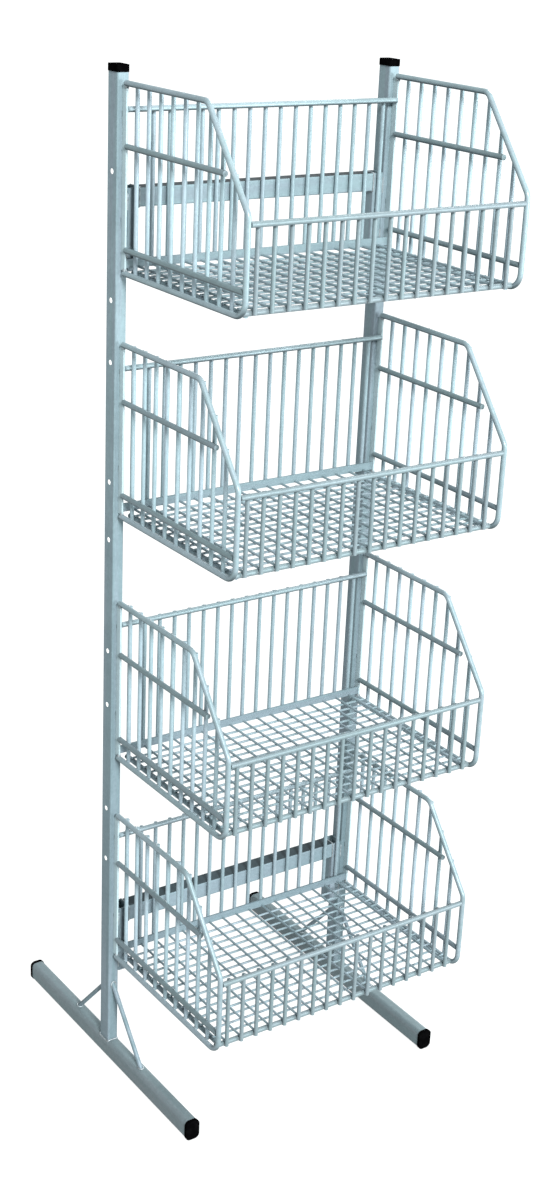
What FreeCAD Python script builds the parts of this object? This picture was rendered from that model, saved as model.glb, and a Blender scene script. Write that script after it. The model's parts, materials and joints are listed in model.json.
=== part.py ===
import FreeCAD, Part
import math
import os
import Sketcher

# Four-tier wire-basket stand (retail dump bin).
#
# Two tube uprights stand on two long floor feet and are tied by two crossbars. Four identical
# wire baskets hang on the uprights: each has two flat hook strips whose tongues drop behind the
# front wall of an upright. +X is to the right, -Y is the front, +Z is up, in millimetres. The
# origin is on the floor, in the middle of the stand's width and of its depth.

SIZES = {
    # uprights and their plastic caps
    "upright_spacing": 515.0,
    "upright_width": 20.0,
    "upright_depth": 30.0,
    "tube_wall": 2.0,
    "tube_corner": 2.5,
    "upright_above": 23.0,
    "cap_top": 3.0,
    "cap_wall": 1.0,
    "cap_skirt": 8.0,
    # round holes through the outer side walls, in pairs from the top down
    "hole_size": 9.0,
    "hole_drop": 156.0,
    "hole_pair_gap": 200.0,
    "hole_pair_pitch": 300.0,
    # feet and their end plugs
    "foot_width": 25.0,
    "foot_height": 36.0,
    "foot_wall": 2.0,
    "foot_corner": 8.0,
    "foot_front": 296.0,
    "foot_rear": 288.0,
    "plug_lip": 1.0,
    "plug_flange": 6.0,
    "plug_depth": 14.0,
    "plug_play": 0.1,
    # round braces between feet and uprights
    "brace_size": 8.0,
    "brace_front_reach": 102.0,
    "brace_front_level": 155.0,
    "brace_rear_reach": 96.0,
    "brace_rear_level": 142.0,
    # crossbars and the short posts that carry them
    "bar_height": 30.0,
    "bar_depth": 30.0,
    "post_width": 20.0,
    "post_height": 129.0,
    "upper_bar_drop": 180.5,
    "lower_bar_level": 311.0,
    # levels of the baskets: the top rail of the first, then the steps down
    "top_level": 1747.0,
    "first_step": 400.0,
    "second_step": 440.0,
    "third_step": 400.0,
    # wire gauges
    "frame_wire": 9.0,
    "panel_wire": 7.0,
    "floor_wire": 4.0,
    "wire_lap": 1.0,
    "slope_wire_gap": 9.0,
    # side panels, measured forward from the uprights' front faces and down from the top rail; the
    # low rail is measured up from the bottom one
    "rim_gap": 8.5,
    "slope_start": 238.0,
    "rim_reach": 350.0,
    "slope_drop": 141.0,
    "basket_height": 287.0,
    "bend_radius": 17.0,
    "toe_radius": 25.0,
    "mid_rail_drop": 93.0,
    "mid_rail_reach": 288.0,
    "low_rail_rise": 37.0,
    "side_wire_first": 29.5,
    "side_wire_last_gap": 46.0,
    # back and front panels and floor
    "back_rail_drop": 38.0,
    "back_strip_height": 14.0,
    "front_rail_drop": 154.0,
    "wire_margin": 22.3,
    "floor_wire_first": 32.7,
    # hook strips, their tongues and the slots for them
    "strip_thickness": 3.0,
    "strip_width": 12.0,
    "seat_gap": 0.3,
    "hook_upper_drop": 60.0,
    "hook_lower_drop": 220.0,
    "hook_neck": 10.0,
    "hook_tongue": 8.0,
    "hook_grip": 5.0,
    "slot_play": 0.5,
    "slot_slack": 1.0,
}

SIDE_WIRES = 9
CROSS_PANEL_WIRES = 17
FLOOR_CROSS_WIRES = 15
SIDE_HOLES = 9

# Formulas that several pieces share, in the sheet's own terms.
HALF_SPACING = "dims.upright_spacing / 2"
REACH = "dims.upright_depth / 2 + dims.rim_reach + dims.frame_wire / 2"
UPRIGHT_Y = f"(({REACH}) - dims.foot_rear) / 2"
FACE_Y = f"({UPRIGHT_Y}) - dims.upright_depth / 2"
BACK_Y = f"({UPRIGHT_Y}) + dims.upright_depth / 2"
FOOT_BOTTOM = "dims.plug_lip"
FOOT_TOP = "(dims.plug_lip + dims.foot_height)"
UPRIGHT_TOP = "(dims.top_level + dims.upright_above)"
LEVELS = [
    "dims.top_level",
    "(dims.top_level - dims.first_step)",
    "(dims.top_level - dims.first_step - dims.second_step)",
    "(dims.top_level - dims.first_step - dims.second_step - dims.third_step)",
]
TIERS = ["basket_top", "basket_upper", "basket_lower", "basket_bottom"]
SIDES = {"left": -1, "right": 1}

# Layers of a basket. Its own frame has y = 0 on the uprights' front faces and z = 0 on the top
# rail. Every panel wire lies on the +X or +Y side of the rails that it is welded to.
WIRE_SHIFT = "((dims.frame_wire + dims.panel_wire) / 2)"
BACK_WIRE_Y = "(-dims.seat_gap - dims.panel_wire / 2)"
BACK_WELD_Y = "(-dims.seat_gap - dims.panel_wire)"
FRONT_WIRE_Y = f"(-dims.rim_reach + {WIRE_SHIFT})"
TOE_WIRE_Y = f"({FRONT_WIRE_Y} + {WIRE_SHIFT})"
TOE_WIRE_Z = "(-dims.basket_height + dims.floor_wire)"
CROSS_WIRE_Z = "(-dims.basket_height + (dims.frame_wire + dims.floor_wire) / 2)"
LONG_WIRE_Z = f"({CROSS_WIRE_Z} + dims.floor_wire)"
LONG_WIRE_UNDERSIDE = f"({LONG_WIRE_Z} - dims.floor_wire / 2)"
BACK_STRIP_FRONT = f"({BACK_WELD_Y} - dims.strip_thickness)"
STRIP_FRONT = "(dims.seat_gap + dims.strip_width)"
LEFT_EDGE_X = f"(-{HALF_SPACING} + {WIRE_SHIFT} * 2)"
RIGHT_EDGE_X = f"({HALF_SPACING} - dims.frame_wire)"
FIRST_CROSS_X = f"(-{HALF_SPACING} + dims.wire_margin)"

AXIS_TURNS = {
    "x": FreeCAD.Rotation(FreeCAD.Vector(0, 1, 0), 90),
    "y": FreeCAD.Rotation(FreeCAD.Vector(1, 0, 0), -90),
    "z": FreeCAD.Rotation(),
}
HALF_TURN = FreeCAD.Rotation(FreeCAD.Vector(0, 0, 1), 180)

# A sketch's own origin and axes, as the last terms of a constraint.
ORIGIN_POINT = (-1, 1)
LEVEL_AXIS = (-1,)
UPRIGHT_AXIS = (LEVEL_AXIS[0] - 1,)

document = FreeCAD.newDocument("wire_basket_stand")
sheet = document.addObject("Spreadsheet::Sheet", "dims")
nodes = []


def fill_sheet():
    """Writes each size as a plain number, with its name beside it and as its alias."""
    for row, (name, value) in enumerate(SIZES.items(), start=1):
        sheet.set(f"A{row}", name)
        sheet.set(f"B{row}", str(value))
        sheet.setAlias(f"B{row}", name)
    document.recompute()


def bind(thing, **formulas):
    """Ties properties to formulas; a double underscore stands for the dot in a path."""
    for path, formula in formulas.items():
        thing.setExpression(path.replace("__", "."), formula)


def place(thing, x="0", y="0", z="0"):
    bind(thing, Placement__Base__x=x, Placement__Base__y=y, Placement__Base__z=z)


def keep(thing, name):
    """Names a finished piece as a node of the stand."""
    thing.Label = name
    nodes.append(thing)
    return thing


# Sketches


def new_body(name):
    return document.addObject("PartDesign::Body", name)


def new_sketch(body, name, plane):
    sketch = body.newObject("Sketcher::SketchObject", name)
    support = next(item for item in body.Origin.OriginFeatures if item.Role == plane)
    sketch.AttachmentSupport = [(support, "")]
    sketch.MapMode = "FlatFace"
    return sketch


def constrain(sketch, formula, kind, *where, start):
    """Adds one driving dimension, tied to a formula; start is its value before the formula's."""
    index = sketch.addConstraint(Sketcher.Constraint(kind, *where, start))
    sketch.setExpression(f"Constraints[{index}]", formula)


def rounded_rectangle(sketch, width, height, corner):
    """Draws a rectangle with round corners, centred on the sketch's origin."""
    half_width, half_height, radius = 10.0, 15.0, 2.0
    inner_x = half_width - radius
    inner_y = half_height - radius
    quarter_turn = math.pi / 2
    sides = (0, 1, 2, 3)
    centres = [(inner_x, inner_y), (-inner_x, inner_y), (-inner_x, -inner_y), (inner_x, -inner_y)]
    starts = [(half_width, -inner_y), (inner_x, half_height), (-half_width, inner_y), (-inner_x, -half_height)]
    ends = [(half_width, inner_y), (-inner_x, half_height), (-half_width, -inner_y), (inner_x, -half_height)]
    upward = FreeCAD.Vector(0, 0, 1)
    lines = []
    arcs = []
    for turn in sides:
        line = Part.LineSegment(FreeCAD.Vector(*starts[turn], 0), FreeCAD.Vector(*ends[turn], 0))
        lines.append(sketch.addGeometry(line, False))
        circle = Part.Circle(FreeCAD.Vector(*centres[turn], 0), upward, radius)
        arc = Part.ArcOfCircle(circle, turn * quarter_turn, (turn + 1) * quarter_turn)
        arcs.append(sketch.addGeometry(arc, False))
    for turn in sides:
        sketch.addConstraint(Sketcher.Constraint("Tangent", lines[turn], 2, arcs[turn], 1))
        sketch.addConstraint(Sketcher.Constraint("Tangent", arcs[turn], 2, lines[(turn + 1) % 4], 1))
        direction = "Vertical" if turn % 2 == 0 else "Horizontal"
        sketch.addConstraint(Sketcher.Constraint(direction, lines[turn]))
    for turn in sides[1:]:
        sketch.addConstraint(Sketcher.Constraint("Equal", arcs[0], arcs[turn]))
    constrain(sketch, corner, "Radius", arcs[0], start=radius)
    constrain(sketch, width, "DistanceX", lines[2], 1, lines[0], 2, start=2 * half_width)
    constrain(sketch, height, "DistanceY", lines[3], 1, lines[1], 2, start=2 * half_height)
    sketch.addConstraint(Sketcher.Constraint("Symmetric", arcs[0], 3, arcs[2], 3, *ORIGIN_POINT))


def tube_profile(sketch, width, height, corner, wall):
    """Draws the ring of a rectangular tube's section."""
    rounded_rectangle(sketch, width, height, corner)
    rounded_rectangle(sketch, f"{width} - 2 * {wall}", f"{height} - 2 * {wall}", f"{corner} - {wall}")


def slot_rectangle(sketch, width, height, base):
    """Draws a sharp rectangle on the sketch's upright axis, with its lower edge at base."""
    left, right, low, high = -2.0, 2.0, 100.0, 120.0
    corners = [(left, low), (right, low), (right, high), (left, high)]
    bottom, right_side, top, left_side = [
        sketch.addGeometry(Part.LineSegment(FreeCAD.Vector(*start, 0), FreeCAD.Vector(*end, 0)), False)
        for start, end in zip(corners, corners[1:] + corners[:1])
    ]
    loop = [bottom, right_side, top, left_side]
    for line, following in zip(loop, loop[1:] + loop[:1]):
        sketch.addConstraint(Sketcher.Constraint("Coincident", line, 2, following, 1))
    sketch.addConstraint(Sketcher.Constraint("Vertical", right_side))
    sketch.addConstraint(Sketcher.Constraint("Vertical", left_side))
    sketch.addConstraint(Sketcher.Constraint("Horizontal", top))
    sketch.addConstraint(Sketcher.Constraint("Symmetric", bottom, 1, bottom, 2, *UPRIGHT_AXIS))
    constrain(sketch, width, "DistanceX", bottom, 1, bottom, 2, start=right - left)
    constrain(sketch, height, "DistanceY", right_side, 1, right_side, 2, start=high - low)
    constrain(sketch, base, "DistanceY", *ORIGIN_POINT, bottom, 1, start=low)


def round_hole(sketch, size, height):
    """Draws a circle on the sketch's upright axis."""
    radius, start_height = 5.0, 100.0
    circle = Part.Circle(FreeCAD.Vector(0, start_height, 0), FreeCAD.Vector(0, 0, 1), radius)
    index = sketch.addGeometry(circle, False)
    sketch.addConstraint(Sketcher.Constraint("PointOnObject", index, 3, *UPRIGHT_AXIS))
    constrain(sketch, size, "Diameter", index, start=2 * radius)
    constrain(sketch, height, "DistanceY", *ORIGIN_POINT, index, 3, start=start_height)


def bent_path(sketch, corners, radii):
    """Draws straight runs through the corners, joined by tangent arcs.

    A corner is the names of two sizes, forward and down; None stands for the sketch's own axis.
    """
    points = []
    for forward, down in corners:
        points.append(FreeCAD.Vector(-SIZES[forward], -SIZES[down] if down else 0.0, 0))
    bends = []
    trims = [0.0]
    for before, corner, after, radius in zip(points, points[1:], points[2:], radii):
        way_back = (before - corner).normalize()
        way_on = (after - corner).normalize()
        half_angle = way_back.getAngle(way_on) / 2
        trim = SIZES[radius] / math.tan(half_angle)
        inward = (way_back + way_on).normalize()
        crown = corner + inward * (SIZES[radius] / math.sin(half_angle) - SIZES[radius])
        bends.append(Part.Arc(corner + way_back * trim, crown, corner + way_on * trim))
        trims.append(trim)
    trims.append(0.0)
    lines = []
    for first, start in enumerate(points[:-1]):
        end = points[first + 1]
        run = (end - start).normalize()
        line = Part.LineSegment(start + run * trims[first], end - run * trims[first + 1])
        lines.append(sketch.addGeometry(line, False))
    for index, (bend, radius) in enumerate(zip(bends, radii)):
        before, after = lines[index], lines[index + 1]
        arc = sketch.addGeometry(bend, False)
        begins_at_line = sketch.Geometry[arc].StartPoint.isEqual(sketch.Geometry[before].EndPoint, 0.001)
        arc_start, arc_end = (1, 2) if begins_at_line else (2, 1)
        sketch.addConstraint(Sketcher.Constraint("Tangent", before, 2, arc, arc_start))
        sketch.addConstraint(Sketcher.Constraint("Tangent", arc, arc_end, after, 1))
        constrain(sketch, f"dims.{radius}", "Radius", arc, start=SIZES[radius])
        mark = sketch.addGeometry(Part.Point(points[index + 1]), True)
        sketch.addConstraint(Sketcher.Constraint("PointOnObject", mark, 1, before))
        sketch.addConstraint(Sketcher.Constraint("PointOnObject", mark, 1, after))
        pin_point(sketch, mark, 1, corners[index + 1])
    pin_point(sketch, lines[0], 1, corners[0])
    pin_point(sketch, lines[-1], 2, corners[-1])


def pin_point(sketch, geometry, position, corner):
    """Holds a point forward of the sketch's upright axis and below its level one."""
    forward, down = corner
    where = (geometry, position, *ORIGIN_POINT)
    constrain(sketch, f"dims.{forward}", "DistanceX", *where, start=SIZES[forward])
    if down:
        constrain(sketch, f"dims.{down}", "DistanceY", *where, start=SIZES[down])
    else:
        sketch.addConstraint(Sketcher.Constraint("PointOnObject", geometry, position, *LEVEL_AXIS))


def pad(body, sketch, length, reversed_way=False, both_ways=False):
    feature = body.newObject("PartDesign::Pad", f"{sketch.Name}_pad")
    feature.Profile = sketch
    feature.Reversed = reversed_way
    feature.Midplane = both_ways
    bind(feature, Length=length)
    return feature


def cut(body, sketch, length, reversed_way=False):
    """Cuts a profile one way from its plane."""
    feature = body.newObject("PartDesign::Pocket", f"{sketch.Name}_cut")
    feature.Profile = sketch
    feature.Reversed = reversed_way
    bind(feature, Length=length)
    return feature


def cut_through(body, sketch):
    """Cuts a profile through the whole body, both ways from its plane."""
    feature = body.newObject("PartDesign::Pocket", f"{sketch.Name}_cut")
    feature.Profile = sketch
    feature.Midplane = True
    feature.Type = "ThroughAll"
    return feature


# Frame


def make_upright(side):
    """A rectangular tube, saddled over its foot, with holes outside and slots for the baskets."""
    name = f"upright_{side}"
    body = new_body(name)
    section = new_sketch(body, f"{name}_section", "XY_Plane")
    tube_profile(section, "dims.upright_width", "dims.upright_depth", "dims.tube_corner", "dims.tube_wall")
    saddle_depth = "dims.foot_corner"
    bind(section, AttachmentOffset__Base__z=f"{FOOT_TOP} - {saddle_depth}")
    pad(body, section, f"{UPRIGHT_TOP} - {FOOT_TOP} + {saddle_depth}")
    saddle = new_sketch(body, f"{name}_saddle", "XZ_Plane")
    bind(saddle, AttachmentOffset__Base__y=f"{FOOT_BOTTOM} + dims.foot_height / 2")
    rounded_rectangle(saddle, "dims.foot_width", "dims.foot_height", "dims.foot_corner")
    cut_through(body, saddle)
    holes = new_sketch(body, f"{name}_holes", "YZ_Plane")
    for number in range(SIDE_HOLES):
        pair, second = divmod(number, 2)
        drop = f"dims.hole_drop + {pair} * dims.hole_pair_pitch + {second} * dims.hole_pair_gap"
        round_hole(holes, "dims.hole_size", f"{UPRIGHT_TOP} - ({drop})")
    cut(body, holes, "dims.upright_width", reversed_way=side == "right")
    slots = new_sketch(body, f"{name}_slots", "XZ_Plane")
    slot_width = "dims.strip_thickness + 2 * dims.slot_play"
    slot_height = "dims.hook_neck + dims.hook_tongue + dims.slot_slack"
    for level in LEVELS:
        for drop in ("dims.hook_upper_drop", "dims.hook_lower_drop"):
            slot_rectangle(slots, slot_width, slot_height, f"{level} - {drop} - dims.seat_gap")
    cut(body, slots, "dims.upright_depth", reversed_way=True)
    place(body, x=f"{SIDES[side]} * {HALF_SPACING}", y=UPRIGHT_Y)
    return keep(body, name)


def make_upright_cap(side):
    """A plastic cap that covers the tube's end and grips it outside."""
    name = f"upright_cap_{side}"
    body = new_body(name)
    outline = new_sketch(body, f"{name}_outline", "XY_Plane")
    width = "dims.upright_width + 2 * dims.cap_wall"
    depth = "dims.upright_depth + 2 * dims.cap_wall"
    rounded_rectangle(outline, width, depth, "dims.tube_corner + dims.cap_wall")
    pad(body, outline, "dims.cap_skirt + dims.cap_top")
    socket = new_sketch(body, f"{name}_socket", "XY_Plane")
    rounded_rectangle(socket, "dims.upright_width", "dims.upright_depth", "dims.tube_corner")
    cut(body, socket, "dims.cap_skirt", reversed_way=True)
    height = f"{UPRIGHT_TOP} - dims.cap_skirt"
    place(body, x=f"{SIDES[side]} * {HALF_SPACING}", y=UPRIGHT_Y, z=height)
    return keep(body, name)


def make_foot(side):
    """A rounded rectangular tube along the floor."""
    name = f"foot_{side}"
    body = new_body(name)
    section = new_sketch(body, f"{name}_section", "XZ_Plane")
    tube_profile(section, "dims.foot_width", "dims.foot_height", "dims.foot_corner", "dims.foot_wall")
    pad(body, section, "dims.foot_front + dims.foot_rear - 2 * dims.plug_flange", reversed_way=True)
    front_end = f"{UPRIGHT_Y} - dims.foot_front + dims.plug_flange"
    middle = f"{FOOT_BOTTOM} + dims.foot_height / 2"
    place(body, x=f"{SIDES[side]} * {HALF_SPACING}", y=front_end, z=middle)
    return keep(body, name)


def make_foot_plug(name):
    """A plastic plug whose flange faces -Y: it covers the tube's end, and its stem fills it."""
    body = new_body(name)
    flange = new_sketch(body, f"{name}_flange", "XZ_Plane")
    width = "dims.foot_width + 2 * dims.plug_lip"
    height = "dims.foot_height + 2 * dims.plug_lip"
    rounded_rectangle(flange, width, height, "dims.foot_corner + dims.plug_lip")
    pad(body, flange, "dims.plug_flange", reversed_way=True)
    stem = new_sketch(body, f"{name}_stem", "XZ_Plane")
    inset = "dims.foot_wall + dims.plug_play"
    width = f"dims.foot_width - 2 * ({inset})"
    height = f"dims.foot_height - 2 * ({inset})"
    rounded_rectangle(stem, width, height, f"dims.foot_corner - ({inset})")
    pad(body, stem, "dims.plug_flange + dims.plug_depth", reversed_way=True)
    return body


def make_foot_plugs(side):
    """The front and rear plugs of one foot."""
    name = f"foot_plugs_{side}"
    front = make_foot_plug(f"{name}_front")
    rear = make_foot_plug(f"{name}_rear")
    rear.Placement = FreeCAD.Placement(FreeCAD.Vector(), HALF_TURN)
    x = f"{SIDES[side]} * {HALF_SPACING}"
    z = f"{FOOT_BOTTOM} + dims.foot_height / 2"
    place(front, x=x, y=f"{UPRIGHT_Y} - dims.foot_front", z=z)
    place(rear, x=x, y=f"{UPRIGHT_Y} + dims.foot_rear", z=z)
    return group_pieces(name, [front, rear])


def make_brace(side, end):
    """A round rod from the top of a foot up to its upright, cut flush at both."""
    name = f"brace_{side}_{end}"
    reach = f"dims.brace_{end}_reach"
    rise = f"(dims.brace_{end}_level - {FOOT_TOP})"
    slant = f"sqrt({reach} ^ 2 + {rise} ^ 2)"
    forward = 1 if end == "front" else -1
    face = FACE_Y if end == "front" else BACK_Y
    overrun = "2 * dims.brace_size"
    rod = document.addObject("Part::Cylinder", f"{name}_rod")
    rod.Placement.Rotation = FreeCAD.Rotation(FreeCAD.Vector(-forward, 0, 0), 45)
    bind(rod, Radius="dims.brace_size / 2", Height=f"{slant} + 2 * ({overrun})")
    bind(rod, Placement__Rotation__Angle=f"atan({reach} / {rise})")
    foot_y = f"{face} - {forward} * {reach} * (1 + {overrun} / {slant})"
    place(
        rod,
        x=f"{SIDES[side]} * {HALF_SPACING}",
        y=foot_y,
        z=f"{FOOT_TOP} - {rise} * {overrun} / {slant}",
    )
    room = document.addObject("Part::Box", f"{name}_room")
    bind(room, Length="4 * dims.brace_size", Width=f"2 * {reach}", Height=f"2 * {rise}")
    room_y = f"{face} - 2 * {reach}" if end == "front" else face
    place(room, x=f"{SIDES[side]} * {HALF_SPACING} - 2 * dims.brace_size", y=room_y, z=FOOT_TOP)
    brace = document.addObject("Part::Common", name)
    brace.Base = rod
    brace.Tool = room
    return keep(brace, name)


def make_crossbar(which, top):
    """A square tube between the posts."""
    name = f"crossbar_{which}"
    body = new_body(name)
    section = new_sketch(body, f"{name}_section", "YZ_Plane")
    tube_profile(section, "dims.bar_depth", "dims.bar_height", "dims.tube_corner", "dims.tube_wall")
    length = "dims.upright_spacing - dims.upright_width - 2 * dims.post_width"
    pad(body, section, length, both_ways=True)
    place(body, y=f"{FACE_Y} + dims.bar_depth / 2", z=f"{top} - dims.bar_height / 2")
    return keep(body, name)


def make_post(which, side, top):
    """A short upright tube that stands against an upright and carries a crossbar's end."""
    name = f"crossbar_{which}_post_{side}"
    body = new_body(name)
    section = new_sketch(body, f"{name}_section", "XY_Plane")
    tube_profile(section, "dims.post_width", "dims.bar_depth", "dims.tube_corner", "dims.tube_wall")
    pad(body, section, "dims.post_height")
    beside = f"({HALF_SPACING} - dims.upright_width / 2 - dims.post_width / 2)"
    y = f"{FACE_Y} + dims.bar_depth / 2"
    place(body, x=f"{SIDES[side]} * {beside}", y=y, z=f"{top} - dims.post_height")
    return keep(body, name)


# Baskets. One basket's wires are made once, and each tier groups them at its own level.


def wire(name, axis, gauge, length, x="0", y="0", z="0"):
    """A straight round wire that runs from its place towards +X, +Y or +Z."""
    rod = document.addObject("Part::Cylinder", name)
    rod.Placement = FreeCAD.Placement(FreeCAD.Vector(), AXIS_TURNS[axis])
    bind(rod, Radius=f"{gauge} / 2", Height=length)
    place(rod, x=x, y=y, z=z)
    return rod


def make_rim(side):
    """The thick wire round a side: top rail, slope, front edge, round toe and bottom edge."""
    name = f"side_rim_{side}"
    body = new_body(name)
    path = new_sketch(body, f"{name}_path", "YZ_Plane")
    corners = [
        ("rim_gap", None),
        ("slope_start", None),
        ("rim_reach", "slope_drop"),
        ("rim_reach", "basket_height"),
        ("rim_gap", "basket_height"),
    ]
    bent_path(path, corners, ["bend_radius", "bend_radius", "toe_radius"])
    section = new_sketch(body, f"{name}_section", "XZ_Plane")
    bind(section, AttachmentOffset__Base__z="dims.rim_gap")
    gauge = SIZES["frame_wire"]
    circle = section.addGeometry(Part.Circle(FreeCAD.Vector(), FreeCAD.Vector(0, 0, 1), gauge / 2), False)
    section.addConstraint(Sketcher.Constraint("Coincident", circle, 3, *ORIGIN_POINT))
    constrain(section, "dims.frame_wire", "Diameter", circle, start=gauge)
    document.recompute()
    sweep = body.newObject("PartDesign::AdditivePipe", f"{name}_sweep")
    sweep.Profile = section
    edge_count = len(path.Shape.Edges)
    sweep.Spine = (path, [f"Edge{number}" for number in range(1, edge_count + 1)])
    place(body, x=f"{SIDES[side]} * {HALF_SPACING}")
    return body


def make_side_rails(side):
    """The middle wire, which stops short of the slope, and the lower one, which meets the rim.

    Both start from the hook strip's front edge.
    """
    x = f"{SIDES[side]} * {HALF_SPACING}"
    runs = {
        "mid": ("dims.mid_rail_reach", "-dims.mid_rail_drop"),
        "low": ("(dims.rim_reach - dims.frame_wire / 2)", "dims.low_rail_rise - dims.basket_height"),
    }
    rails = []
    for which, (reach, level) in runs.items():
        length = f"{reach} - {STRIP_FRONT}"
        rails.append(wire(f"{which}_rail_{side}", "y", "dims.frame_wire", length, x, f"-{reach}", level))
    return rails


def side_wire_top(number, forward):
    """The level where a side wire ends: on the top rail, or just under the slope further forward."""
    slope_wires = 3
    if number < SIDE_WIRES - slope_wires:
        return "dims.wire_lap"
    steepness = "dims.slope_drop / (dims.rim_reach - dims.slope_start)"
    return f"(-dims.slope_wire_gap - ({forward} - dims.slope_start) * {steepness})"


def make_side_wires(side):
    """The thin upright wires of a side, on the +X side of its rails."""
    x = f"{SIDES[side]} * {HALF_SPACING} + {WIRE_SHIFT}"
    bottom = "(-dims.basket_height - dims.wire_lap)"
    span = "(dims.rim_reach - dims.side_wire_last_gap - dims.side_wire_first)"
    wires = []
    for number in range(SIDE_WIRES):
        forward = f"(dims.side_wire_first + {number} * {span} / {SIDE_WIRES - 1})"
        length = f"{side_wire_top(number, forward)} - {bottom}"
        name = f"side_wire_{side}_{number + 1}"
        wires.append(wire(name, "z", "dims.panel_wire", length, x, f"-{forward}", bottom))
    return wires


def block(name, width, depth, height, x, y, z):
    """A box whose place is its lowest corner."""
    box = document.addObject("Part::Box", name)
    bind(box, Length=width, Width=depth, Height=height)
    place(box, x=x, y=y, z=z)
    return box


def make_hook_strip(side):
    """A flat strip between the rim's two ends, with two hooks behind."""
    name = f"hook_strip_{side}"
    thickness = "dims.strip_thickness"
    x = f"{SIDES[side]} * {HALF_SPACING} - {thickness} / 2"
    front = f"-{STRIP_FRONT}"
    low_end = "(-dims.basket_height + dims.frame_wire / 2)"
    length = "dims.basket_height - dims.frame_wire"
    plate = block(f"{name}_plate", thickness, "dims.strip_width", length, x, front, low_end)
    hooks = []
    wall_back = "(dims.tube_wall + dims.seat_gap)"
    for which in ("upper", "lower"):
        z = f"-dims.hook_{which}_drop"
        neck_length = f"dims.seat_gap + {wall_back} + dims.hook_grip"
        y = "-dims.seat_gap"
        hooks.append(block(f"{name}_{which}_neck", thickness, neck_length, "dims.hook_neck", x, y, z))
        height = "dims.hook_tongue"
        z = f"{z} - {height}"
        hooks.append(block(f"{name}_{which}_tongue", thickness, "dims.hook_grip", height, x, wall_back, z))
    strip = document.addObject("Part::MultiFuse", name)
    strip.Shapes = [plate] + hooks
    strip.Refine = True
    return strip


def across(name, gauge, inset, y, z):
    """A wire along X between the two sides, each end short of the side's plane by the inset."""
    length = f"dims.upright_spacing - 2 * {inset}"
    return wire(name, "x", gauge, length, f"-{HALF_SPACING} + {inset}", y, z)


def make_back_rail():
    rail_y = f"({BACK_WELD_Y} - dims.frame_wire / 2)"
    inset = "(dims.strip_thickness / 2)"
    return across("back_rail_wire", "dims.frame_wire", inset, rail_y, "-dims.back_rail_drop")


def make_back_strip():
    length = "dims.upright_spacing - dims.strip_thickness"
    x = f"-{HALF_SPACING} + dims.strip_thickness / 2"
    size = ("dims.strip_thickness", "dims.back_strip_height")
    return block("back_strip_flat", length, *size, x, BACK_STRIP_FRONT, LONG_WIRE_UNDERSIDE)


def cross_positions():
    """The X of each back, front and floor wire, evenly spaced between the side margins."""
    step = f"(dims.upright_spacing - 2 * dims.wire_margin) / {CROSS_PANEL_WIRES - 1}"
    for number in range(CROSS_PANEL_WIRES):
        yield number + 1, f"{FIRST_CROSS_X} + {number} * {step}"


def make_back_wires():
    top = "(-dims.back_rail_drop + dims.wire_lap)"
    length = f"{top} - {LONG_WIRE_UNDERSIDE}"
    wires = []
    for number, x in cross_positions():
        name = f"back_wire_{number}"
        wires.append(wire(name, "z", "dims.panel_wire", length, x, BACK_WIRE_Y, LONG_WIRE_UNDERSIDE))
    return wires


def make_front_rails():
    """The front rail between the rims, and the toe wire behind the front wires' lower ends."""
    inset = "(dims.frame_wire / 2)"
    rail = across("front_rail_wire", "dims.frame_wire", inset, "-dims.rim_reach", "-dims.front_rail_drop")
    toe = across("toe_wire", "dims.frame_wire", inset, TOE_WIRE_Y, TOE_WIRE_Z)
    return [rail, toe]


def make_front_wires():
    bottom = f"({TOE_WIRE_Z} - dims.wire_lap)"
    length = f"-dims.front_rail_drop + dims.wire_lap - {bottom}"
    wires = []
    for number, x in cross_positions():
        name = f"front_wire_{number}"
        wires.append(wire(name, "z", "dims.panel_wire", length, x, FRONT_WIRE_Y, bottom))
    return wires


def make_floor_wires():
    """The floor: two thick edge wires, the cross wires on them and the long wires on top."""
    wires = []
    edge_front = f"({TOE_WIRE_Y} + dims.frame_wire / 2)"
    length = f"{BACK_STRIP_FRONT} - {edge_front}"
    for side, x in (("left", LEFT_EDGE_X), ("right", RIGHT_EDGE_X)):
        name = f"floor_edge_{side}"
        wires.append(wire(name, "y", "dims.frame_wire", length, x, edge_front, "-dims.basket_height"))
    span = f"(-dims.floor_wire_first - {TOE_WIRE_Y})"
    start = f"({LEFT_EDGE_X} - dims.frame_wire / 2)"
    length = f"{RIGHT_EDGE_X} - {LEFT_EDGE_X} + dims.frame_wire"
    for number in range(FLOOR_CROSS_WIRES):
        y = f"-dims.floor_wire_first - {number} * {span} / {FLOOR_CROSS_WIRES}"
        name = f"floor_cross_{number + 1}"
        wires.append(wire(name, "x", "dims.floor_wire", length, start, y, CROSS_WIRE_Z))
    long_front = f"({FRONT_WIRE_Y} + dims.panel_wire / 2)"
    length = f"{BACK_STRIP_FRONT} - {long_front}"
    for number, x in cross_positions():
        name = f"floor_long_{number}"
        wires.append(wire(name, "y", "dims.floor_wire", length, x, long_front, LONG_WIRE_Z))
    return wires


def group_pieces(name, pieces):
    """A node that holds several separate solids."""
    group = document.addObject("Part::Compound", name)
    group.Links = pieces
    return keep(group, name)


def make_basket_pieces():
    """The pieces of one basket, in its own frame, by node name."""
    both = list(SIDES)
    return {
        "side_rims": [make_rim(side) for side in both],
        "side_rails": [rail for side in both for rail in make_side_rails(side)],
        "side_wires": [rod for side in both for rod in make_side_wires(side)],
        "hook_strips": [make_hook_strip(side) for side in both],
        "back_rail": [make_back_rail()],
        "back_strip": [make_back_strip()],
        "back_wires": make_back_wires(),
        "front_rails": make_front_rails(),
        "front_wires": make_front_wires(),
        "floor_wires": make_floor_wires(),
    }


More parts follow.
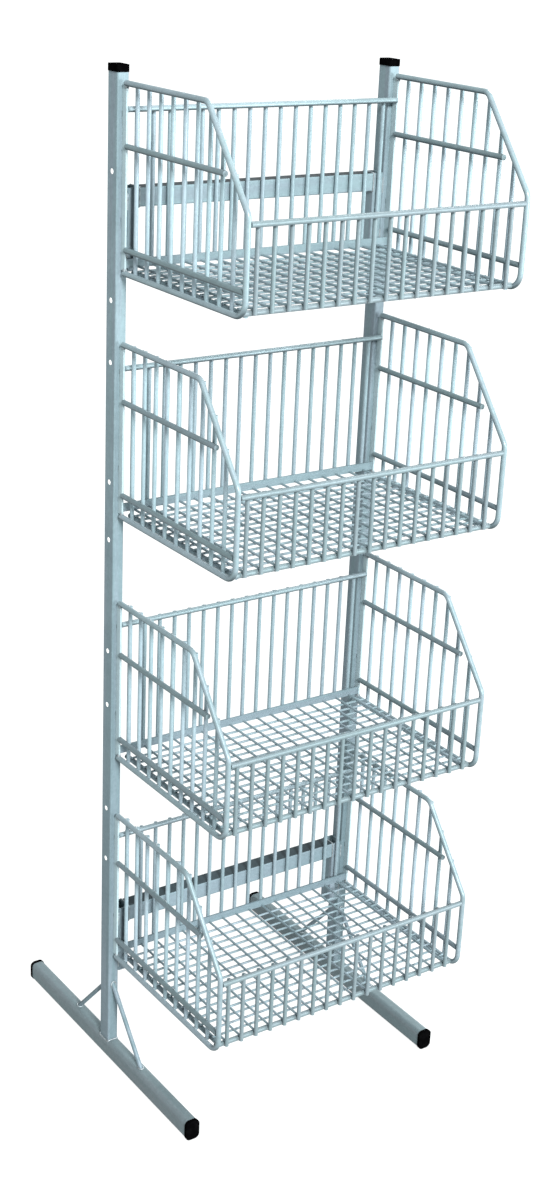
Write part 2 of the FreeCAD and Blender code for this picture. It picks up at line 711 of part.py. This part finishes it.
def make_stand():
    for side in SIDES:
        make_upright(side)
        make_upright_cap(side)
        make_foot(side)
        make_foot_plugs(side)
        for end in ("front", "rear"):
            make_brace(side, end)
    bars = {"upper": f"({UPRIGHT_TOP} - dims.upper_bar_drop)", "lower": "dims.lower_bar_level"}
    for which, top in bars.items():
        make_crossbar(which, top)
        for side in SIDES:
            make_post(which, side, top)
    pieces = make_basket_pieces()
    for tier, level in zip(TIERS, LEVELS):
        for name, wires in pieces.items():
            group = group_pieces(f"{tier}_{name}", wires)
            place(group, y=FACE_Y, z=level)


def write_parts():
    """Checks every object and writes each node's shape to its own file."""
    for thing in document.Objects:
        if "Invalid" in thing.State or "Error" in thing.State:
            raise RuntimeError(f"{thing.Name} did not compute: {thing.State}")
    os.makedirs("parts", exist_ok=True)
    for thing in nodes:
        shape = thing.Shape
        if shape.isNull() or not shape.isValid() or not shape.Solids:
            raise RuntimeError(f"{thing.Label} has no valid solid")
    for thing in nodes:
        thing.Shape.exportStep(f"parts/{thing.Label}.step")
    print(len(nodes), "nodes,", sum(len(thing.Shape.Solids) for thing in nodes), "solids")


fill_sheet()
make_stand()
document.recompute()
write_parts()
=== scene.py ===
import json
import math

import bmesh
import bpy
from mathutils import Matrix, Vector


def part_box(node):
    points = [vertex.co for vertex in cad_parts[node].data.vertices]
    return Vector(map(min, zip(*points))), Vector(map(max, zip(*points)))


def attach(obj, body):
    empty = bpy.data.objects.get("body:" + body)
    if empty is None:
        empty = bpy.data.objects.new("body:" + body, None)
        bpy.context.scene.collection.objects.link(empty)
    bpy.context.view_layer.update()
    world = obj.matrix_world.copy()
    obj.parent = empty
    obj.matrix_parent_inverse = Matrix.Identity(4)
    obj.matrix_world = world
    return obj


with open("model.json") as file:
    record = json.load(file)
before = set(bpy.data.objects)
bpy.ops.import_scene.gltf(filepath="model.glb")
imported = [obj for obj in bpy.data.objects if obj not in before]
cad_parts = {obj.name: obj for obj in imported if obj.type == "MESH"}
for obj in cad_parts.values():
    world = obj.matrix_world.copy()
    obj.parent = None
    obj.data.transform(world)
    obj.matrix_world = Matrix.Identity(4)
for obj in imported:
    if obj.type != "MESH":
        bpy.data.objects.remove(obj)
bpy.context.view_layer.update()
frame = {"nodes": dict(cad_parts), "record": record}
nodes = frame["nodes"]

TIERS = ("basket_top", "basket_upper", "basket_lower", "basket_bottom")
SIDES = ("left", "right")
MM = 0.001

# The photograph's camera, in the model's own frame.
FOCAL_PIXELS = 1817.3
IMAGE_HEIGHT = 1200
SENSOR = 36.0
CAMERA_PLACE = Vector((-1.6698, -2.4292, 2.0386))
CAMERA_YAW = math.radians(35.335)
CAMERA_PITCH = math.radians(21.579)
CAMERA_ROLL = math.radians(2.643)
CLIP_END = 400


def make_camera():
    """Places the camera of the photograph."""
    forward = Vector((
        math.sin(CAMERA_YAW) * math.cos(CAMERA_PITCH),
        math.cos(CAMERA_YAW) * math.cos(CAMERA_PITCH),
        -math.sin(CAMERA_PITCH),
    ))
    level_right = Vector((math.cos(CAMERA_YAW), -math.sin(CAMERA_YAW), 0))
    level_up = level_right.cross(forward)
    right = math.cos(CAMERA_ROLL) * level_right + math.sin(CAMERA_ROLL) * level_up
    up = -math.sin(CAMERA_ROLL) * level_right + math.cos(CAMERA_ROLL) * level_up
    data = bpy.data.cameras.new("camera")
    data.sensor_width = SENSOR
    data.lens = FOCAL_PIXELS / IMAGE_HEIGHT * SENSOR
    data.clip_end = CLIP_END
    camera = bpy.data.objects.new("camera", data)
    turn = Matrix((right, up, -forward)).transposed()
    camera.matrix_world = Matrix.Translation(CAMERA_PLACE) @ turn.to_4x4()
    bpy.context.scene.collection.objects.link(camera)
    bpy.context.scene.camera = camera


def add_light(name, kind, place, target, power, **settings):
    """Adds a light at a place, turned to a target."""
    data = bpy.data.lights.new(name, kind)
    data.energy = power
    for key, value in settings.items():
        setattr(data, key, value)
    light = bpy.data.objects.new(name, data)
    light.location = place
    aim = Vector(target) - Vector(place)
    light.rotation_euler = aim.to_track_quat("-Z", "Y").to_euler()
    bpy.context.scene.collection.objects.link(light)


# Materials


class Graph:
    """A new material's node tree, with a short way to add and join nodes."""

    def __init__(self, name):
        self.material = bpy.data.materials.new(name)
        self.material.use_nodes = True
        self.tree = self.material.node_tree
        self.shader = self.tree.nodes["Principled BSDF"]

    def add(self, kind, settings=None, **inputs):
        """A new node, with its settings, and values or other nodes' outputs for its inputs."""
        node = self.tree.nodes.new(kind)
        for key, value in (settings or {}).items():
            setattr(node, key, value)
        for key, value in inputs.items():
            self.feed(node.inputs[key.replace("_", " ")], value)
        return node

    def feed(self, socket, value):
        if isinstance(value, bpy.types.NodeSocket):
            self.tree.links.new(value, socket)
        else:
            socket.default_value = value

    def place(self, stretch=(1, 1, 1)):
        """The object's own coordinates in metres, shrunk along the axes that the stretch names."""
        texture = self.add("ShaderNodeTexCoord")
        mapping = self.add("ShaderNodeMapping", Vector=texture.outputs["Object"])
        mapping.inputs["Scale"].default_value = stretch
        return mapping.outputs["Vector"]

    def height(self):
        """The height above the floor in metres."""
        split = self.add("ShaderNodeSeparateXYZ", Vector=self.place())
        return split.outputs["Z"]

    def upward(self):
        """How far a face looks up: 1 for a level top, 0 for an upright wall and -1 for an underside."""
        normal = self.add("ShaderNodeNewGeometry").outputs["Normal"]
        split = self.add("ShaderNodeSeparateXYZ", Vector=normal)
        return split.outputs["Z"]

    def noise(self, place, scale, detail=3.0, roughness=0.5):
        """A soft random pattern between 0 and 1."""
        node = self.add("ShaderNodeTexNoise", Vector=place, Scale=scale, Detail=detail, Roughness=roughness)
        return node.outputs["Fac"]

    def ramp(self, factor, stops):
        """A colour along a factor, from two stops of (position, colour)."""
        node = self.add("ShaderNodeValToRGB", Fac=factor)
        for element, (position, colour) in zip(node.color_ramp.elements, stops):
            element.position = position
            element.color = (*colour, 1)
        return node.outputs["Color"]

    def mix(self, factor, first, second, blend="MIX"):
        """Blends two colours, each of them three numbers or another node's output."""
        node = self.add("ShaderNodeMix", {"data_type": "RGBA", "blend_type": blend})
        for name, value in (("Factor_Float", factor), ("A_Color", first), ("B_Color", second)):
            socket = next(item for item in node.inputs if item.identifier == name)
            self.feed(socket, (*value, 1) if isinstance(value, tuple) else value)
        return next(item for item in node.outputs if item.identifier == "Result_Color")

    def span(self, value, low, high, start=0.0, end=1.0):
        """Carries the stretch from start to end over to the stretch from low to high."""
        node = self.add("ShaderNodeMapRange", Value=value)
        node.inputs["From Min"].default_value = start
        node.inputs["From Max"].default_value = end
        node.inputs["To Min"].default_value = low
        node.inputs["To Max"].default_value = high
        return node.outputs["Result"]

    def bumps(self, *layers):
        """Stacks bumps of (height, strength, distance) and gives them to the shader."""
        normal = None
        for height, strength, distance in layers:
            bump = self.add("ShaderNodeBump", Strength=strength, Distance=distance, Height=height)
            if normal:
                self.feed(bump.inputs["Normal"], normal)
            normal = bump.outputs["Normal"]
        self.surface(Normal=normal)

    def surface(self, **inputs):
        """Gives values or other nodes' outputs to the shader."""
        for key, value in inputs.items():
            self.feed(self.shader.inputs[key.replace("_", " ")], value)


# The stretch of a drawn finish, whose lines run along one axis.
ALONG = {"x": (0.03, 1, 1), "y": (1, 0.03, 1), "z": (1, 1, 0.03)}

# The zinc's patterns, as texture scales in units per metre.
CLOUDS = 11.0
BANDS = 70.0
CRYSTALS = 210.0
SPOTS = 520.0
LINES = 700.0
SCRATCHES = 1900.0

# Below the first height the zinc has wholly its dark tone, and above the second wholly its pale one.
DARKEST_BELOW = 0.02
PALEST_ABOVE = 1.55
BRIGHTENED = (1.5, 1.5, 1.5)
WHITE = (1, 1, 1, 1)
FLOOR_SIZE = 300
FLOOR_GLOW = 0.90
SKY_GLOW = 0.80


def zinc(name, tones, run, metallic, roughness, painted_top_shade=None, painted_under_shade=None):
    """Zinc plate: duller near the floor, cloudy and mottled, with drawn lines, scratches and tinted bands.

    The tones are the dark one, used near the floor, the pale one, used higher up, and the banded one. A
    painted top shade, where given, is painted shade on the faces that look up. A painted under shade is
    painted shade on the faces that look down: a dark line below a wire.
    """
    dark_tone, pale_tone, sheen_tone = tones
    graph = Graph(name)
    place = graph.place()
    drawn = graph.place(ALONG[run])
    clouds = graph.noise(place, CLOUDS, detail=4.0, roughness=0.6)
    bands = graph.noise(drawn, BANDS, detail=1.0, roughness=0.4)
    lines = graph.noise(drawn, LINES, detail=2.0, roughness=0.5)
    scratches = graph.noise(drawn, SCRATCHES, detail=1.0, roughness=0.3)
    spots = graph.noise(place, SPOTS, detail=2.0, roughness=0.6)
    crystals = graph.add("ShaderNodeTexVoronoi", Vector=place, Scale=CRYSTALS, Randomness=1.0)

    height_share = graph.span(graph.height(), 0.0, 1.0, start=DARKEST_BELOW, end=PALEST_ABOVE)
    base = graph.mix(height_share, dark_tone, pale_tone)
    tinted = graph.mix(graph.span(bands, 0.0, 0.60, start=0.42, end=0.62), base, sheen_tone)
    clouded = graph.mix(graph.span(clouds, 0.0, 0.45, start=0.38, end=0.72), tinted, dark_tone)
    shade = graph.span(crystals.outputs["Color"], 0.93, 1.07)
    mottled = graph.mix(1.0, clouded, shade, "MULTIPLY")
    lined = graph.mix(graph.span(lines, 0.0, 0.38, start=0.45, end=0.75), mottled, dark_tone)
    bare = graph.mix(1.0, base, BRIGHTENED, "MULTIPLY")
    tone = graph.mix(graph.span(scratches, 0.0, 0.5, start=0.66, end=0.72), lined, bare)
    # Painted shade: the faces that look up take a near-black tone, clouded a little with the dark one.
    if painted_top_shade:
        top_shade_tone = graph.mix(graph.span(clouds, 0.0, 0.2, start=0.3, end=0.7), painted_top_shade, dark_tone)
        tone = graph.mix(graph.span(graph.upward(), 0.0, 1.0, start=0.80, end=0.97), tone, top_shade_tone)
    # Painted shade: the faces that look down take a dark tone, a shaded line below each wire.
    if painted_under_shade:
        tone = graph.mix(graph.span(graph.upward(), 1.0, 0.0, start=-0.60, end=-0.15), tone, painted_under_shade)

    rough = graph.span(graph.mix(0.5, clouds, spots), roughness - 0.12, roughness + 0.16)
    graph.surface(Base_Color=tone, Metallic=metallic, Roughness=rough, Specular_IOR_Level=0.05)
    graph.bumps((lines, 0.16, 0.3 * MM), (spots, 0.18, 0.2 * MM))
    return graph.material


def weld_metal():
    """A bead's metal: darker and rougher than the plate, with scale spots."""
    graph = Graph("zinc_weld")
    place = graph.place()
    clouds = graph.noise(place, 160.0, detail=4.0, roughness=0.65)
    grain = graph.noise(place, 1500.0, detail=2.0, roughness=0.6)
    tone = graph.ramp(clouds, [(0.35, (0.13, 0.15, 0.16)), (0.7, (0.25, 0.30, 0.32))])
    graph.surface(Base_Color=tone, Metallic=0.5, Roughness=graph.span(clouds, 0.42, 0.66))
    graph.bumps((grain, 0.35, 0.2 * MM))
    return graph.material


def moulded_plastic(name, common, scuffed, roughness, specular):
    """Moulded plastic: a fine grain, and scuffs in a tone of their own."""
    graph = Graph(name)
    place = graph.place()
    grain = graph.noise(place, 1400.0, detail=2.0, roughness=0.5)
    scuffs = graph.noise(place, 75.0, detail=4.0, roughness=0.7)
    tone = graph.ramp(scuffs, [(0.45, common), (0.75, scuffed)])
    rough = graph.span(scuffs, roughness, roughness + 0.2)
    graph.surface(Base_Color=tone, Roughness=rough, Specular_IOR_Level=specular)
    graph.bumps((grain, 0.15, 0.2 * MM))
    return graph.material


def floor_material():
    """The white studio floor. It glows, so it stays white and hardly takes a shadow."""
    graph = Graph("floor")
    soft = graph.noise(graph.place(), 3.0)
    tone = graph.ramp(soft, [(0.3, (0.09, 0.10, 0.10)), (0.7, (0.11, 0.12, 0.12))])
    graph.surface(Base_Color=tone, Roughness=0.9, Specular_IOR_Level=0.0)
    graph.surface(Emission_Color=WHITE, Emission_Strength=FLOOR_GLOW)
    return graph.material


# Building the small pieces

BEAD_PITCH = 2.4 * MM
BEAD_STEP = 0.6 * MM
BEAD_SIDES = 8
BEAD_RIPPLE = 0.14
BEAD_END = 0.55
TURNED_SIDES = 24
# Nuggets differ in size by this share at most, and the spread makes even close ones differ.
NUGGET_VARIETY = 0.12
NUGGET_SPREAD = 7919.0
SAME_POINT = 0.01 * MM


def turns(count):
    """Even turns round a circle, in radians."""
    return [2 * math.pi * turn / count for turn in range(count)]


class Builder:
    """Gathers several closed forms into the mesh of one piece."""

    def __init__(self):
        self.points = []
        self.faces = []

    def rings(self, rings, closed):
        """Joins rings of points into a tube; an open one gets a flat end at each side."""
        start = len(self.points)
        count = len(rings[0])
        for ring in rings:
            self.points.extend(ring)
        steps = len(rings) if closed else len(rings) - 1
        for step in range(steps):
            here = start + step * count
            there = start + (step + 1) % len(rings) * count
            for turn in range(count):
                beyond = (turn + 1) % count
                self.faces.append((here + turn, here + beyond, there + beyond, there + turn))
        if not closed:
            last = start + (len(rings) - 1) * count
            self.faces.append(tuple(range(start + count - 1, start - 1, -1)))
            self.faces.append(tuple(range(last, last + count)))

    def bead(self, path, up, radius, closed=True):
        """A weld bead along a path: a round cord with the ripples of its passes."""
        rings = []
        travelled = 0.0
        for index, point in enumerate(path):
            before = path[index - 1] if closed or index else point
            after = path[(index + 1) % len(path)] if closed or index + 1 < len(path) else point
            run = (after - before).normalized()
            across = run.cross(up).normalized()
            rise = across.cross(run).normalized()
            travelled += (point - path[index - 1]).length if index else 0.0
            ripple = abs(math.sin(math.pi * travelled / BEAD_PITCH))
            swell = radius * (1 - BEAD_RIPPLE + BEAD_RIPPLE * ripple)
            if not closed and index in (0, len(path) - 1):
                swell *= BEAD_END
            rings.append([
                point + (across * math.cos(turn) + rise * math.sin(turn)) * swell
                for turn in turns(BEAD_SIDES)
            ])
        self.rings(rings, closed)

    def nugget(self, centre, size):
        """A small squashed ball of weld metal, whose size varies with its place."""
        start = len(self.points)
        wobble = math.sin(NUGGET_SPREAD * (centre.x + 2 * centre.y + 3 * centre.z))
        swell = 1.0 + NUGGET_VARIETY * wobble
        for point in BALL_POINTS:
            squashed = Vector((point.x * size.x, point.y * size.y, point.z * size.z))
            self.points.append(centre + squashed * swell)
        for face in BALL_FACES:
            self.faces.append(tuple(start + corner for corner in face))

    def turned(self, centre, axis, profile):
        """A form turned round an axis; the profile is (radius, distance along the axis)."""
        side = axis.orthogonal().normalized()
        other = axis.cross(side)
        rings = []
        for radius, along in profile:
            middle = centre + axis * along
            rings.append([
                middle + (side * math.cos(turn) + other * math.sin(turn)) * radius
                for turn in turns(TURNED_SIDES)
            ])
        self.rings(rings, closed=False)

    def piece(self, name, material, body):
        """Makes the gathered forms one piece that rides on a body."""
        mesh = bpy.data.meshes.new(name)
        mesh.from_pydata([tuple(point) for point in self.points], [], self.faces)
        work = bmesh.new()
        work.from_mesh(mesh)
        bmesh.ops.recalc_face_normals(work, faces=work.faces)
        work.to_mesh(mesh)
        work.free()
        mesh.shade_smooth()
        mesh.materials.append(material)
        thing = bpy.data.objects.new(name, mesh)
        bpy.context.scene.collection.objects.link(thing)
        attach(thing, body)


def ball():
    """The points and faces of a unit ball with few faces."""
    work = bmesh.new()
    bmesh.ops.create_icosphere(work, subdivisions=2, radius=1.0)
    points = [vert.co.copy() for vert in work.verts]
    faces = [tuple(vert.index for vert in face.verts) for face in work.faces]
    work.free()
    return points, faces


def solids(node):
    """The box of each separate solid in a node, as its lowest and highest corners."""
    work = bmesh.new()
    work.from_mesh(nodes[node].data)
    bmesh.ops.remove_doubles(work, verts=work.verts, dist=SAME_POINT)
    seen = set()
    boxes = []
    for first in work.verts:
        if first in seen:
            continue
        seen.add(first)
        stack = [first]
        group = []
        while stack:
            vert = stack.pop()
            group.append(vert.co.copy())
            for edge in vert.link_edges:
                other = edge.other_vert(vert)
                if other not in seen:
                    seen.add(other)
                    stack.append(other)
        low = Vector([min(point[axis] for point in group) for axis in range(3)])
        high = Vector([max(point[axis] for point in group) for axis in range(3)])
        boxes.append((low, high))
    work.free()
    return boxes


BALL_POINTS, BALL_FACES = ball()
WIRE_LAP = 1.0 * MM
RIM_WIRE = 9.0 * MM
NUGGET_REACH = 3.6 * MM
NUGGET_DEPTH = 1.6 * MM


def basket_welds(tier):
    """A weld nugget wherever the wires, rails, rims and strips of a basket meet."""
    builder = Builder()
    across_x = Vector((NUGGET_DEPTH, NUGGET_REACH, NUGGET_REACH))
    across_y = Vector((NUGGET_REACH, NUGGET_DEPTH, NUGGET_REACH))
    rails = solids(f"{tier}_side_rails")
    rim_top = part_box(f"{tier}_side_rims")[1].z
    for low, high in solids(f"{tier}_side_wires"):
        y = (low.y + high.y) / 2
        builder.nugget(Vector((low.x, y, low.z + WIRE_LAP)), across_x)
        if rim_top - high.z < RIM_WIRE:
            builder.nugget(Vector((low.x, y, high.z - WIRE_LAP)), across_x)
        for rail_low, rail_high in rails:
            beside = abs(rail_high.x - low.x) < MM and rail_low.y < y < rail_high.y
            if beside:
                builder.nugget(Vector((low.x, y, (rail_low.z + rail_high.z) / 2)), across_x)
    for low, high in solids(f"{tier}_hook_strips"):
        middle = (low.x + high.x) / 2
        joints = [(low.y + NUGGET_REACH / 2, low.z), (low.y + NUGGET_REACH / 2, high.z)]
        for rail_low, rail_high in rails:
            if rail_low.x < middle < rail_high.x:
                joints.append((low.y, (rail_low.z + rail_high.z) / 2))
        for y, z in joints:
            for x in (low.x, high.x):
                builder.nugget(Vector((x, y, z)), across_x)
    strip_low, strip_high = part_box(f"{tier}_back_strip")
    for low, high in solids(f"{tier}_back_wires"):
        x = (low.x + high.x) / 2
        builder.nugget(Vector((x, low.y, high.z - WIRE_LAP)), across_y)
        builder.nugget(Vector((x, low.y, (strip_low.z + strip_high.z) / 2)), across_y)
    for low, high in solids(f"{tier}_front_wires"):
        x = (low.x + high.x) / 2
        builder.nugget(Vector((x, low.y, high.z - WIRE_LAP)), across_y)
        builder.nugget(Vector((x, high.y, low.z + WIRE_LAP)), across_y)
    builder.piece(f"{tier}_welds", weld, tier)


def spaced(corners, closed):
    """Points at even steps along a run of corners."""
    points = []
    ends = corners[1:] + corners[:1] if closed else corners[1:]
    for start, end in zip(corners, ends):
        count = max(1, round((end - start).length / BEAD_STEP))
        points.extend(start.lerp(end, step / count) for step in range(count))
    if not closed:
        points.append(corners[-1])
    return points


CORNER_STEPS = 6


def rounded_loop(half_width, half_height, corner):
    """Corners of a flat loop round a rectangle with round corners, as (x, y)."""
    points = []
    for quarter, (sign_x, sign_y) in enumerate(((1, 1), (-1, 1), (-1, -1), (1, -1))):
        for step in range(CORNER_STEPS + 1):
            angle = math.pi / 2 * (quarter + step / CORNER_STEPS)
            x = sign_x * (half_width - corner) + corner * math.cos(angle)
            y = sign_y * (half_height - corner) + corner * math.sin(angle)
            points.append((x, y))
    return points


FOOT_CORNER = 8.0 * MM
TUBE_CORNER = 2.5 * MM
BRACE_RADIUS = 4.0 * MM
BRACE_REACH = {"front": 102.0 * MM, "rear": 96.0 * MM}
BRACE_LEVEL = {"front": 155.0 * MM, "rear": 142.0 * MM}
BRACE_STEPS = 28
STITCH_LENGTH = 26.0 * MM
STITCH_FROM_END = 8.0 * MM
STITCH_FROM_EDGE = 0.7 * MM
# The beads' radii, and how far their middles stand off the joined faces.
FOOT_BEAD = 1.9 * MM
FOOT_OFF = 0.5 * MM
BRACE_BEAD = 1.5 * MM
BRACE_OFF = 0.6 * MM
BAR_BEAD = 1.4 * MM
BAR_OFF = 0.4 * MM
STITCH_BEAD = 1.6 * MM


def foot_weld(builder, side):
    """The bead round an upright's saddle, which dips with the foot's round shoulders."""
    low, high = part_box(f"upright_{side}")
    foot_low, foot_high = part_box(f"foot_{side}")
    centre = (low + high) / 2
    shoulder = (foot_high.x - foot_low.x) / 2 - FOOT_CORNER
    half = (high - low) / 2
    corners = []
    for x, y in rounded_loop(half.x + FOOT_OFF, half.y + FOOT_OFF, TUBE_CORNER + FOOT_OFF):
        beyond = max(0.0, abs(x) - shoulder)
        drop = FOOT_CORNER - math.sqrt(FOOT_CORNER ** 2 - beyond ** 2)
        corners.append(Vector((centre.x + x, centre.y + y, foot_high.z - drop + FOOT_OFF)))
    builder.bead(spaced(corners, closed=True), Vector((0, 0, 1)), FOOT_BEAD)


def brace_welds(builder, side, end):
    """The beads round a brace's two ends."""
    low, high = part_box(f"brace_{side}_{end}")
    foot_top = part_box(f"foot_{side}")[1].z
    x = (low.x + high.x) / 2
    outward = -1 if end == "front" else 1
    face = high.y if end == "front" else low.y
    reach = BRACE_REACH[end]
    rise = BRACE_LEVEL[end] - foot_top
    slant = math.hypot(reach, rise)
    upper = []
    lower = []
    for turn in turns(BRACE_STEPS):
        side_step = (BRACE_RADIUS + BRACE_OFF) * math.cos(turn)
        climb = (BRACE_RADIUS * slant / reach + BRACE_OFF) * math.sin(turn)
        upper.append(Vector((x + side_step, face + outward * BRACE_OFF, BRACE_LEVEL[end] + climb)))
        stride = (BRACE_RADIUS * slant / rise + BRACE_OFF) * math.sin(turn)
        lower.append(Vector((x + side_step, face + outward * reach + stride, foot_top + BRACE_OFF)))
    builder.bead(spaced(upper, closed=True), Vector((0, 1, 0)), BRACE_BEAD)
    builder.bead(spaced(lower, closed=True), Vector((0, 0, 1)), BRACE_BEAD)


def crossbar_welds(builder, which):
    """Beads round a crossbar's ends, and stitches between its posts and the uprights."""
    low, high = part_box(f"crossbar_{which}")
    centre = (low + high) / 2
    half = (high - low) / 2
    loop = rounded_loop(half.y + BAR_OFF, half.z + BAR_OFF, TUBE_CORNER + BAR_OFF)
    for end, inward in ((low.x, 1), (high.x, -1)):
        corners = [Vector((end + inward * BAR_OFF, centre.y + y, centre.z + z)) for y, z in loop]
        builder.bead(spaced(corners, closed=True), Vector((1, 0, 0)), BAR_BEAD)
    for side in SIDES:
        post_low, post_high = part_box(f"crossbar_{which}_post_{side}")
        seam = post_low.x if side == "left" else post_high.x
        for y in (post_low.y + STITCH_FROM_EDGE, post_high.y - STITCH_FROM_EDGE):
            for z in (post_low.z + STITCH_FROM_END, post_high.z - STITCH_FROM_END - STITCH_LENGTH):
                corners = [Vector((seam, y, z)), Vector((seam, y, z + STITCH_LENGTH))]
                builder.bead(spaced(corners, closed=False), Vector((0, 1, 0)), STITCH_BEAD, closed=False)


# A plug's half section in millimetres: (radius, height over the wall), from its dome to its inner end.
PLUG_PROFILE = [
    (0.3, 0.52), (1.6, 0.48), (2.8, 0.34), (3.7, 0.12), (4.2, -0.12), (4.42, -0.45), (4.42, -1.5),
    (4.05, -1.9), (2.6, -1.9), (0.3, -1.9),
]


def hole_plugs(side):
    """A domed blanking plug pressed in each hole of an upright's outer wall."""
    builder = Builder()
    profile = [(radius * MM, along * MM) for radius, along in PLUG_PROFILE]
    for mount in frame["record"]["mounts"]:
        if mount["name"].startswith(f"side_hole_{side}"):
            axis = Vector(mount["axis"])
            wall = mount["dims"]["length_mm"] * MM
            builder.turned(Vector(mount["pos_m"]) + axis * wall / 2, axis, profile)
    builder.piece(f"hole_plugs_{side}", plug_plastic, "frame")


# The object

make_camera()

# Colours of the zinc on each kind of piece: the dark one, used near the floor, the pale one, used higher
# up, and the banded one.
TUBE_TONES = ((0.085, 0.123, 0.138), (0.146, 0.204, 0.223), (0.150, 0.181, 0.212))
FOOT_TONES = ((0.086, 0.117, 0.126), (0.132, 0.180, 0.194), (0.108, 0.127, 0.139))
BAR_TONES = ((0.096, 0.135, 0.153), (0.130, 0.184, 0.200), (0.118, 0.146, 0.169))
# Painted light: the hook strips' tones are a much lighter copy of the back strips' flat zinc, so that their
# side faces look lit.
STRIP_PAINTED_LIGHT_TONES = ((0.246, 0.319, 0.340), (0.281, 0.365, 0.387), (0.246, 0.319, 0.340))
RAIL_TONES = ((0.083, 0.116, 0.124), (0.129, 0.178, 0.190), (0.132, 0.161, 0.186))
FRONT_TONES = ((0.098, 0.133, 0.143), (0.124, 0.168, 0.180), (0.128, 0.155, 0.172))
RIM_TONES = ((0.113, 0.155, 0.169), (0.176, 0.239, 0.257), (0.176, 0.218, 0.246))
WIRE_TONES = ((0.152, 0.209, 0.231), (0.209, 0.289, 0.314), (0.217, 0.263, 0.303))
MESH_TONES = ((0.129, 0.178, 0.197), (0.170, 0.236, 0.257), (0.179, 0.219, 0.251))
# Painted shade on the crossbars' tops: a near-black tone for the faces that look up.
BAR_TOP_PAINTED_SHADE = (0.010, 0.017, 0.020)
# Painted shade below the rails and rims: a dark tone for the faces that look down.
RAIL_UNDER_PAINTED_SHADE = (0.060, 0.080, 0.088)
WHITE_PLASTIC = (0.88, 0.89, 0.88)
WHITE_SCUFFED = (0.80, 0.81, 0.80)
BLACK_PLASTIC = (0.0008, 0.0008, 0.0009)
BLACK_SCUFFED = (0.0022, 0.0022, 0.0024)

tube = zinc("zinc_tube", TUBE_TONES, "z", metallic=0.10, roughness=0.42)
foot = zinc("zinc_foot", FOOT_TONES, "y", metallic=0.10, roughness=0.42)
bar = zinc("zinc_bar", BAR_TONES, "x", metallic=0.10, roughness=0.42)
# The crossbars carry painted shade on the faces that look up.
crossbar = zinc("zinc_crossbar", BAR_TONES, "x", metallic=0.0, roughness=0.46, painted_top_shade=BAR_TOP_PAINTED_SHADE)
# The hook strips carry the painted-light copy of the flat zinc.
strip = zinc("zinc_strip_painted_light", STRIP_PAINTED_LIGHT_TONES, "z", metallic=0.10, roughness=0.40)
# The rails and rims carry painted shade on the faces that look down.
rail = zinc("zinc_rail", RAIL_TONES, "y", metallic=0.25, roughness=0.36, painted_under_shade=RAIL_UNDER_PAINTED_SHADE)
fronts = {run: zinc(f"zinc_front_{run}", FRONT_TONES, run, metallic=0.20, roughness=0.38) for run in "xz"}
rims = {
    run: zinc(f"zinc_rim_{run}", RIM_TONES, run, metallic=0.20, roughness=0.36, painted_under_shade=RAIL_UNDER_PAINTED_SHADE)
    for run in "xy"
}
wire = zinc("zinc_wire", WIRE_TONES, "z", metallic=0.20, roughness=0.36)
mesh_wires = {run: zinc(f"zinc_mesh_{run}", MESH_TONES, run, metallic=0.20, roughness=0.36) for run in "xz"}
weld = weld_metal()
black = moulded_plastic("black_plastic", BLACK_PLASTIC, BLACK_SCUFFED, roughness=0.6, specular=0.0)
plug_plastic = moulded_plastic("white_plastic", WHITE_PLASTIC, WHITE_SCUFFED, roughness=0.35, specular=0.4)


def node_material(name):
    """The material of a CAD node, by its name."""
    if "cap" in name or "plug" in name:
        return black
    if name.startswith("foot"):
        return foot
    if name.startswith("crossbar") and "post" not in name:
        return crossbar
    if not name.startswith("basket"):
        return tube
    if "strip" in name:
        # Hook strips take the painted-light copy of the flat zinc, back strips the plain one.
        return strip if "hook" in name else bar
    if "front" in name:
        return fronts["x"] if "rail" in name else fronts["z"]
    if "side_rails" in name:
        return rail
    if "side_rims" in name:
        return rims["y"]
    if "rail" in name:
        return rims["x"]
    if "side_wires" in name:
        return wire
    return mesh_wires["x"] if "floor" in name else mesh_wires["z"]


for name, node in nodes.items():
    node.data.materials.clear()
    node.data.materials.append(node_material(name))

for tier in TIERS:
    basket_welds(tier)
frame_beads = Builder()
for side in SIDES:
    foot_weld(frame_beads, side)
    brace_welds(frame_beads, side, "front")
    brace_welds(frame_beads, side, "rear")
    hole_plugs(side)
crossbar_welds(frame_beads, "upper")
crossbar_welds(frame_beads, "lower")
frame_beads.piece("frame_welds", weld, "frame")

# Floor and lights

bpy.ops.mesh.primitive_plane_add(size=FLOOR_SIZE)
floor = bpy.context.object
floor.name = "floor"
floor.data.materials.append(floor_material())

world = bpy.data.worlds.new("studio")
bpy.context.scene.world = world
world.use_nodes = True
background = world.node_tree.nodes["Background"]
background.inputs["Color"].default_value = WHITE
background.inputs["Strength"].default_value = SKY_GLOW
add_light("sun", "SUN", (-0.95, -3.75, 2.2), (0, 0, 0), power=8.5, angle=math.radians(14))
add_light("back", "SUN", (3.4, 1.7, 2.3), (0, 0, 0), power=3.6, angle=math.radians(12))
add_light("fill", "AREA", (1.9, -3.0, 1.6), (0, 0, 0.8), power=160, shape="RECTANGLE", size=1.6, size_y=1.6)
bpy.context.scene.view_settings.view_transform = "Standard"
